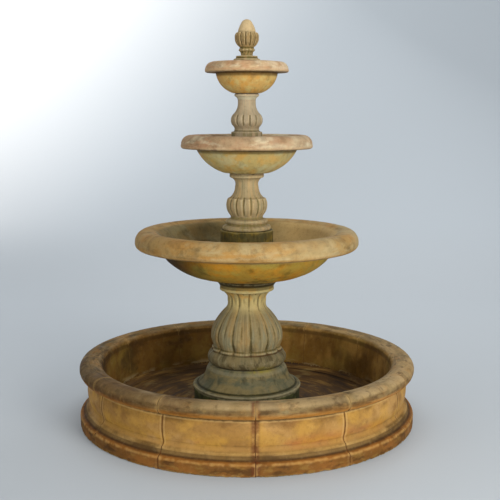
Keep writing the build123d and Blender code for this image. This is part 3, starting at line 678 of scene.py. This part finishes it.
def build_foot():
    """Grey-green plinth with its cover, and the flared base."""
    darkening, pale = rgb(34, 28, 16), rgb(172, 162, 128)
    s, colour = pedestal_material(
        "plinth_cast_stone",
        (rgb(112, 106, 78), rgb(136, 120, 78), rgb(84, 88, 70), rgb(48, 46, 32), rgb(92, 96, 44)),
        across=5.0, up=26.0)
    damp_side = s.band(s.joint_distance(22, 1), 0.0, 0.16, 0.3)
    damp_patch = s.times(damp_side, s.cloud(12, 40, 66, 0.36, 0.6))
    colour = s.stain(
        colour,
        (rgb(146, 134, 44), s.times(damp_patch, s.ramp(s.height, 0.276, 0.296)), 0.75),
        (rgb(150, 144, 118), s.band(s.height, 0.282, 0.004, 0.008), 0.3))
    plinth = s.stain(rgb(56, 58, 36), (rgb(84, 88, 48), s.cloud(6, 20, 65), 0.7))
    colour = s.mix(s.ramp(s.height, 0.176, 0.166), colour, plinth)
    material = stone_detail(s, colour, darkening, 0.8, pale, 0.5)
    for name, voxel, seed in (
            ("pump_plinth", 0.005, 50), ("access_cover", 0.003, 51), ("pedestal_base", 0.004, 52)):
        stone = StoneMesh(name, voxel)
        stone.smooth(2)
        stone.wear(lumps=0.0022, chips=0.003, seed=seed)
        stone.finish(material, "plinth_stone", "access_cover" if name == "access_cover" else FIXED)


def build_lower_pedestal():
    """Bulb of twelve leaves over a ring and a torus, moss where the torus meets the base."""
    darkening, pale = rgb(62, 50, 26), rgb(180, 168, 130)
    s, colour = pedestal_material(
        "lower_cast_stone",
        (rgb(132, 118, 82), rgb(150, 122, 74), rgb(122, 122, 98), rgb(86, 72, 44), rgb(112, 104, 50)))
    streaks = s.cloud(26, 6, 60, 0.48, 0.66)
    colour = s.stain(colour, (rgb(166, 154, 118), streaks, 0.4))
    torus = s.ramp(s.height, 0.386, 0.378)
    seam = s.times(s.band(s.height, 0.377, 0.001, 0.004), s.cloud(3, 20, 68, 0.4, 0.5))
    moss = s.times(s.band(s.joint_distance(26, 1), 0.0, 0.1, 0.3), s.cloud(12, 60, 70, 0.36, 0.6))
    colour = s.stain(
        colour,
        (rgb(110, 100, 70), torus, 0.75),
        (rgb(64, 54, 34), s.times(torus, s.cloud(5, 20, 66, 0.46, 0.6)), 0.7),
        (rgb(146, 136, 102), s.times(torus, s.cloud(8, 20, 65, 0.52, 0.66)), 0.6),
        (rgb(140, 128, 46), s.times(moss, s.ramp(s.height, 0.334, 0.31)), 0.75),
        (rgb(92, 48, 20), seam, 0.6),
        # painted light: the neck lighter, against the shadow of the large bowl above
        (rgb(186, 168, 112), s.ramp(s.height, 0.57, 0.64), 0.75),
        (rgb(196, 146, 66), s.times(s.ramp(s.height, 0.62, 0.7), s.cloud(3, 12, 69, 0.5, 0.6)), 0.6),
        (rgb(176, 160, 104), s.band(s.height, 0.712, 0.006, 0.005), 0.6),
        (rgb(100, 86, 40), s.ramp(s.height, 0.719, 0.726), 0.65),
        # painted shadow: near-black at the collar's top, under the large bowl
        (rgb(26, 20, 6), s.ramp(s.height, 0.731, 0.744), 0.85))
    leaf_tips = 0.394
    stone = StoneMesh("lower_pedestal", 0.0034)
    stone.smooth(1)
    for _ in range(2):
        stone.fill(0.25 * height_mask(stone, 0.385, 0.71, 0.02), 16)
    stone.soften(4)
    round_ribs(stone, LEAVES, depth=0.005, low=leaf_tips, high=0.70, least_radius=0.100)
    scallop(stone, LEAVES, depth=0.020, edge=leaf_tips, reach=0.045, least_radius=0.172)
    stone.wear(lumps=0.0018, chips=0.003, seed=60)
    stone.finish(stone_detail(s, colour, darkening, 0.6, pale, 0.5), "lower_stone")


def build_riser():
    """Mossy drum in the large bowl."""
    darkening, pale = rgb(44, 34, 12), rgb(170, 152, 96)
    s, colour = pedestal_material(
        "riser_cast_stone",
        (rgb(88, 78, 42), rgb(124, 102, 34), rgb(70, 68, 42), rgb(44, 37, 15), rgb(124, 110, 30)),
        across=7.0, up=12.0)
    stone = StoneMesh("bowl_riser", 0.004)
    stone.smooth(2)
    stone.wear(lumps=0.002, chips=0.003, seed=61)
    stone.finish(stone_detail(s, colour, darkening, 0.8, pale, 0.4), "riser_stone")


def build_upper_tiers():
    """Middle and upper pedestals, both pale taupe with rounded ribs."""
    darkening, pale = rgb(70, 54, 26), rgb(204, 186, 146)
    s, colour = pedestal_material(
        "middle_cast_stone",
        (rgb(162, 144, 108), rgb(178, 150, 104), rgb(140, 136, 106), rgb(112, 96, 62), rgb(132, 122, 64)))
    mossy_foot = s.times(s.ramp(s.height, 1.1, 1.06), s.cloud(4, 20, 66, 0.44, 0.6))
    colour = s.stain(
        colour,
        (rgb(124, 112, 60), mossy_foot, 0.6),
        # painted shadow: dark at the collar's top, under the middle bowl
        (darkening, s.ramp(s.height, 1.322, 1.334), 0.8))
    middle = StoneMesh("middle_pedestal", 0.0026)
    middle.smooth(1)
    middle.fill(0.6 * height_mask(middle, 1.09, 1.23, 0.02), 14)
    middle.soften(3)
    round_ribs(middle, MIDDLE_RIBS, depth=0.004, low=1.108, high=1.206, least_radius=0.084)
    scallop(middle, MIDDLE_RIBS, depth=0.010, edge=1.203, reach=0.022, least_radius=0.086)
    middle.wear(lumps=0.0014, chips=0.0025, seed=62)
    middle.finish(stone_detail(s, colour, darkening, 0.3, pale, 0.5), "middle_stone")

    darkening, pale = rgb(78, 62, 34), rgb(210, 194, 160)
    s, colour = pedestal_material(
        "upper_cast_stone",
        (rgb(170, 154, 126), rgb(180, 156, 122), rgb(150, 144, 120), rgb(124, 108, 78), rgb(136, 126, 82)))
    mossy_foot = s.times(s.ramp(s.height, 1.575, 1.55), s.cloud(4, 24, 66, 0.4, 0.58))
    colour = s.stain(
        colour,
        (rgb(116, 108, 66), mossy_foot, 0.65),
        (rgb(196, 190, 160), s.band(s.height, 1.732, 0.006, 0.006), 0.5),
        # painted shadow: dark at the collar's top, under the small bowl
        (darkening, s.ramp(s.height, 1.743, 1.751), 0.8))
    upper = StoneMesh("upper_pedestal", 0.0022)
    upper.smooth(1)
    upper.fill(0.6 * height_mask(upper, 1.56, 1.67, 0.015), 14)
    upper.soften(2)
    round_ribs(upper, UPPER_RIBS, depth=0.003, low=1.578, high=1.648, least_radius=0.062)
    upper.wear(lumps=0.0012, chips=0.002, seed=63)
    upper.finish(stone_detail(s, colour, darkening, 0.3, pale, 0.5), "upper_stone")


def build_bowls():
    """The three bowls, each with its own rim, underside and inside colours."""
    inside = (rgb(118, 104, 68), rgb(136, 112, 66), rgb(132, 122, 86), rgb(78, 70, 44))
    large = StoneMesh("large_bowl", 0.0055)
    large.smooth(3)
    large.wear(lumps=0.0026, chips=0.003, seed=70)
    large.finish(bowl_material(
        "large_bowl_cast_stone",
        (rgb(160, 132, 82), rgb(172, 128, 66), rgb(172, 154, 112), rgb(98, 76, 42)),
        (rgb(164, 130, 50), rgb(198, 132, 32), rgb(164, 148, 68), rgb(50, 32, 10)),
        inside, rgb(44, 28, 10), low=0.937, high=1.034, inner_radius=0.505, span=0.6,
        left_darkening=0.95), "large_bowl_stone")
    middle = StoneMesh("middle_bowl", 0.004)
    middle.smooth(3)
    middle.wear(lumps=0.002, chips=0.0025, seed=71)
    middle.finish(bowl_material(
        "middle_bowl_cast_stone",
        (rgb(170, 144, 110), rgb(170, 130, 96), rgb(206, 192, 160), rgb(118, 98, 72)),
        (rgb(178, 158, 100), rgb(196, 152, 76), rgb(182, 176, 134), rgb(122, 106, 58)),
        inside, rgb(60, 42, 18), low=1.466, high=1.534, inner_radius=0.275, span=0.35,
        left_darkening=0.0), "middle_stone")
    small = StoneMesh("small_bowl", 0.003)
    small.smooth(3)
    small.wear(lumps=0.0015, chips=0.002, seed=72)
    small.finish(bowl_material(
        "small_bowl_cast_stone",
        (rgb(194, 170, 132), rgb(186, 142, 102), rgb(216, 200, 168), rgb(142, 114, 80)),
        (rgb(186, 150, 86), rgb(200, 144, 62), rgb(190, 170, 108), rgb(124, 96, 50)),
        inside, rgb(66, 46, 18), low=1.862, high=1.914, inner_radius=0.155, span=0.22,
        left_darkening=0.0), "upper_stone")


def build_finial():
    """Finial base, and the egg in its calyx above a ring of knotted leaves."""
    darkening, pale = rgb(62, 44, 18), rgb(214, 194, 152)
    s, colour = pedestal_material(
        "finial_cast_stone",
        (rgb(166, 142, 98), rgb(188, 152, 98), rgb(144, 128, 88), rgb(100, 80, 46), rgb(128, 118, 54)),
        across=5.0, up=30.0)
    egg = s.ramp(s.height, 2.06, 2.085)
    colour = s.stain(
        colour,
        (rgb(122, 100, 62), s.band(s.height, 2.03, 0.02, 0.02), 0.5),
        (rgb(204, 180, 138), egg, 0.75),
        (rgb(108, 104, 50), s.times(s.ramp(s.height, 2.0, 1.985), s.cloud(3, 60, 66, 0.4, 0.6)), 0.6))
    material = stone_detail(s, colour, darkening, 0.6, pale, 0.6)
    base = StoneMesh("finial_base", 0.0022)
    base.smooth(2)
    base.wear(lumps=0.0012, chips=0.002, seed=80)
    base.finish(material, "finial_stone")
    top = StoneMesh("finial", 0.0016)
    top.smooth(2)
    top.fill(0.35 * height_mask(top, 1.99, 2.08, 0.01), 14)
    round_ribs(top, CALYX_RIBS, depth=0.005, low=1.998, high=2.07, least_radius=0.05, fade=0.006)
    scallop(top, CALYX_RIBS, depth=0.010, edge=2.071, reach=0.014, least_radius=0.048)
    knot = height_mask(top, 1.958, 1.994, 0.010)
    height = top.points[:, 2]
    _, angle = polar(top.points)
    slant = 160 * (height - 1.976)
    twist = np.cos(6 * angle + slant) * np.cos(6 * angle - slant)
    push_in(top, 0.005 * knot * (0.5 - 0.5 * twist))
    top.wear(lumps=0.001, chips=0.001, seed=81)
    top.finish(material, "finial_stone", "finial")


# ------------------------------------------------------------------ plumbing and fittings
def plain_detail(name, colour, dark, rough, scale, grain, metallic=0.0, darkening=0.35):
    """Small-part material: mottled colour, dirt film, fine grain and uneven gloss."""
    s = Shader(name)
    dirt = s.ramp(s.noise(scale, 6, 0.65), 0.42, 0.72)
    tint = s.stain(colour, (dark, dirt, darkening))
    s.bump((s.noise(grain, 5, 0.7), 0.25, 0.0004), (s.noise(scale * 2, 4), 0.15, 0.001))
    limits = {"Value": s.noise(scale * 1.7, 5), "To Min": rough - 0.12, "To Max": rough + 0.15}
    gloss = s.node("ShaderNodeMapRange", limits).outputs["Result"]
    return s.finish(tint, gloss, Metallic=metallic)


def cover_cad(material, *nodes):
    """Give CAD nodes that keep their own mesh a procedural material."""
    for node in nodes:
        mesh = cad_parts[node].data
        mesh.materials.clear()
        mesh.materials.append(material)


def finish_fittings():
    """Materials of the hidden pump, valve, pipe, seals and floor fittings."""
    rubber = plain_detail("black_rubber", rgb(34, 34, 34), rgb(80, 74, 62), 0.8, 60, 900)
    cover_cad(
        rubber, "pedestal_pad", "large_bowl_pad", "middle_bowl_pad", "small_bowl_pad",
        "drain_gasket", "pipe_grommets", "shaft_bushings", "pump_feet", "drain_plug")
    pipe = plain_detail("grey_white_pipe", rgb(206, 206, 200), rgb(132, 122, 92), 0.45, 18, 500)
    cover_cad(pipe, "riser_pipe_lower", "riser_pipe_upper", "pipe_coupling")
    hose = plain_detail("clear_vinyl_hose", rgb(158, 166, 160), rgb(96, 98, 74), 0.3, 40, 300)
    cover_cad(hose, "supply_hose")
    steel = plain_detail("stainless_steel", rgb(176, 176, 172), rgb(110, 98, 80), 0.35, 70, 1200, 1.0)
    cover_cad(steel, "hose_clamps", "valve_nut")
    lever = plain_detail("lever_red_vinyl", rgb(150, 32, 26), rgb(90, 40, 30), 0.4, 70, 600)
    cover_cad(lever, "valve_lever")
    brass = plain_detail("dull_brass", rgb(182, 144, 78), rgb(92, 92, 62), 0.4, 60, 700, 1.0)
    cover_cad(brass, "valve_body", "valve_stem", "drain_fitting")
    chrome = plain_detail("chromed_ball", rgb(208, 208, 206), rgb(150, 150, 148), 0.15, 50, 900, 1.0)
    cover_cad(chrome, "valve_ball")
    seat = plain_detail("white_seat", rgb(226, 226, 220), rgb(190, 188, 176), 0.5, 50, 600)
    cover_cad(seat, "valve_seats")
    black = plain_detail("pump_plastic", rgb(30, 31, 34), rgb(74, 70, 56), 0.55, 30, 700)
    cover_cad(
        black, "pump_housing", "pump_cover", "intake_screen", "outlet_barb", "foot_frame",
        "cord_gland")
    dial = plain_detail("dial_plastic", rgb(40, 74, 120), rgb(40, 50, 60), 0.45, 40, 700)
    cover_cad(dial, "flow_dial")
    blades = plain_detail("impeller_plastic", rgb(52, 84, 130), rgb(40, 50, 60), 0.5, 60, 700)
    cover_cad(blades, "impeller")
    core = plain_detail("laminated_core", rgb(96, 84, 72), rgb(150, 86, 50), 0.5, 90, 900, 0.7)
    cover_cad(core, "stator_core")
    magnet = plain_detail("ferrite_magnet", rgb(46, 46, 48), rgb(70, 60, 56), 0.6, 90, 900, 0.3)
    cover_cad(magnet, "rotor_magnet")
    ceramic = plain_detail("white_ceramic", rgb(232, 230, 220), rgb(200, 196, 182), 0.25, 80, 900)
    cover_cad(ceramic, "rotor_shaft")


build_pool()
build_foot()
build_lower_pedestal()
build_riser()
build_upper_tiers()
build_bowls()
build_finial()
finish_fittings()


# ------------------------------------------------------------------ studio
def add_stage():
    """Pale floor that sweeps up into a backdrop behind the fountain, with painted light: lighter towards
    the upper left, and a faint glow of its own towards the back.
    """
    half, front, back, bend, height = 9.0, -7.5, 3.0, 3.2, 8.0
    line = [(front, 0.0), (back, 0.0)]
    for angle in np.linspace(0, math.pi / 2, 16)[1:]:
        line.append((back + bend * math.sin(angle), bend - bend * math.cos(angle)))
    line.append((back + bend, height))
    points = [(x, y, z - 0.0005) for y, z in line for x in (-half, half)]
    faces = [(2 * i, 2 * i + 1, 2 * i + 3, 2 * i + 2) for i in range(len(line) - 1)]
    mesh = bpy.data.meshes.new("studio_sweep")
    mesh.from_pydata(points, [], faces)
    mesh.polygons.foreach_set("use_smooth", [True] * len(faces))
    stage = bpy.data.objects.new("studio_sweep", mesh)
    bpy.context.scene.collection.objects.link(stage)
    s = Shader("pale_studio_paper")
    # painted light: the backdrop lighter towards the upper left
    lean = s.math("ADD", s.times(s.x, -0.5), s.times(s.height, 0.5))
    tone = s.mix(s.ramp(lean, 0.6, 3.4), rgb(184, 192, 199), rgb(250, 250, 250))
    tone = s.mix(s.ramp(s.height, 0.6, 0.0), tone, rgb(182, 189, 195))
    tone = s.stain(tone, (rgb(160, 170, 180), s.noise(140, 3), 0.03))
    # painted light: the sweep glows faintly, more towards the back
    glow = s.mix(s.ramp(s.y, -1.5, 3.0), (0, 0, 0, 1), tone)
    s.feed(s.surface.inputs["Emission Color"], glow)
    mesh.materials.append(s.finish(tone, 0.9, Emission_Strength=0.2))


WARM = (1.0, 0.97, 0.92)
FAINTLY_WARM = (1.0, 0.98, 0.95)
WHITE = (1.0, 1.0, 1.0)


def add_light(name, place, size, power, colour, target=(0, 0, 1.0), spread=180):
    """Square area light aimed at a point; spread is its beam's full angle in degrees."""
    data = bpy.data.lights.new(name, "AREA")
    data.spread = math.radians(spread)
    data.size = size
    data.energy = power
    data.color = colour
    light = bpy.data.objects.new(name, data)
    light.location = place
    aim = np.array(target) - np.array(place)
    flat = math.hypot(aim[0], aim[1])
    light.rotation_euler = (math.pi / 2 + math.atan2(aim[2], flat), 0, math.atan2(-aim[0], aim[1]))
    bpy.context.scene.collection.objects.link(light)


def light_studio():
    """Key from the front right, bounce under the bowls, fill from the left, lamps above and behind."""
    add_light("key", (3.3, -4.8, 3.0), 2.4, 200, WARM)
    add_light("bounce", (0.9, -3.6, 0.35), 2.2, 46, WARM, target=(0.1, 0, 1.3), spread=120)
    add_light("fill", (-4.2, -4.0, 2.2), 3.5, 58, WARM)
    add_light("top", (0.4, 0.6, 6.0), 4.0, 60, WHITE)
    add_light("rear", (2.6, 4.6, 4.2), 2.5, 45, FAINTLY_WARM)
    add_light("backdrop", (-2.6, 1.6, 3.4), 2.0, 80, WHITE, target=(-3.2, 6.2, 4.4), spread=120)
    world = bpy.data.worlds.new("studio")
    world.use_nodes = True
    background = world.node_tree.nodes["Background"]
    background.inputs["Color"].default_value = (0.88, 0.9, 0.92, 1)
    background.inputs["Strength"].default_value = 0.45
    bpy.context.scene.world = world
    bpy.context.scene.view_settings.view_transform = "Standard"


add_stage()
light_studio()
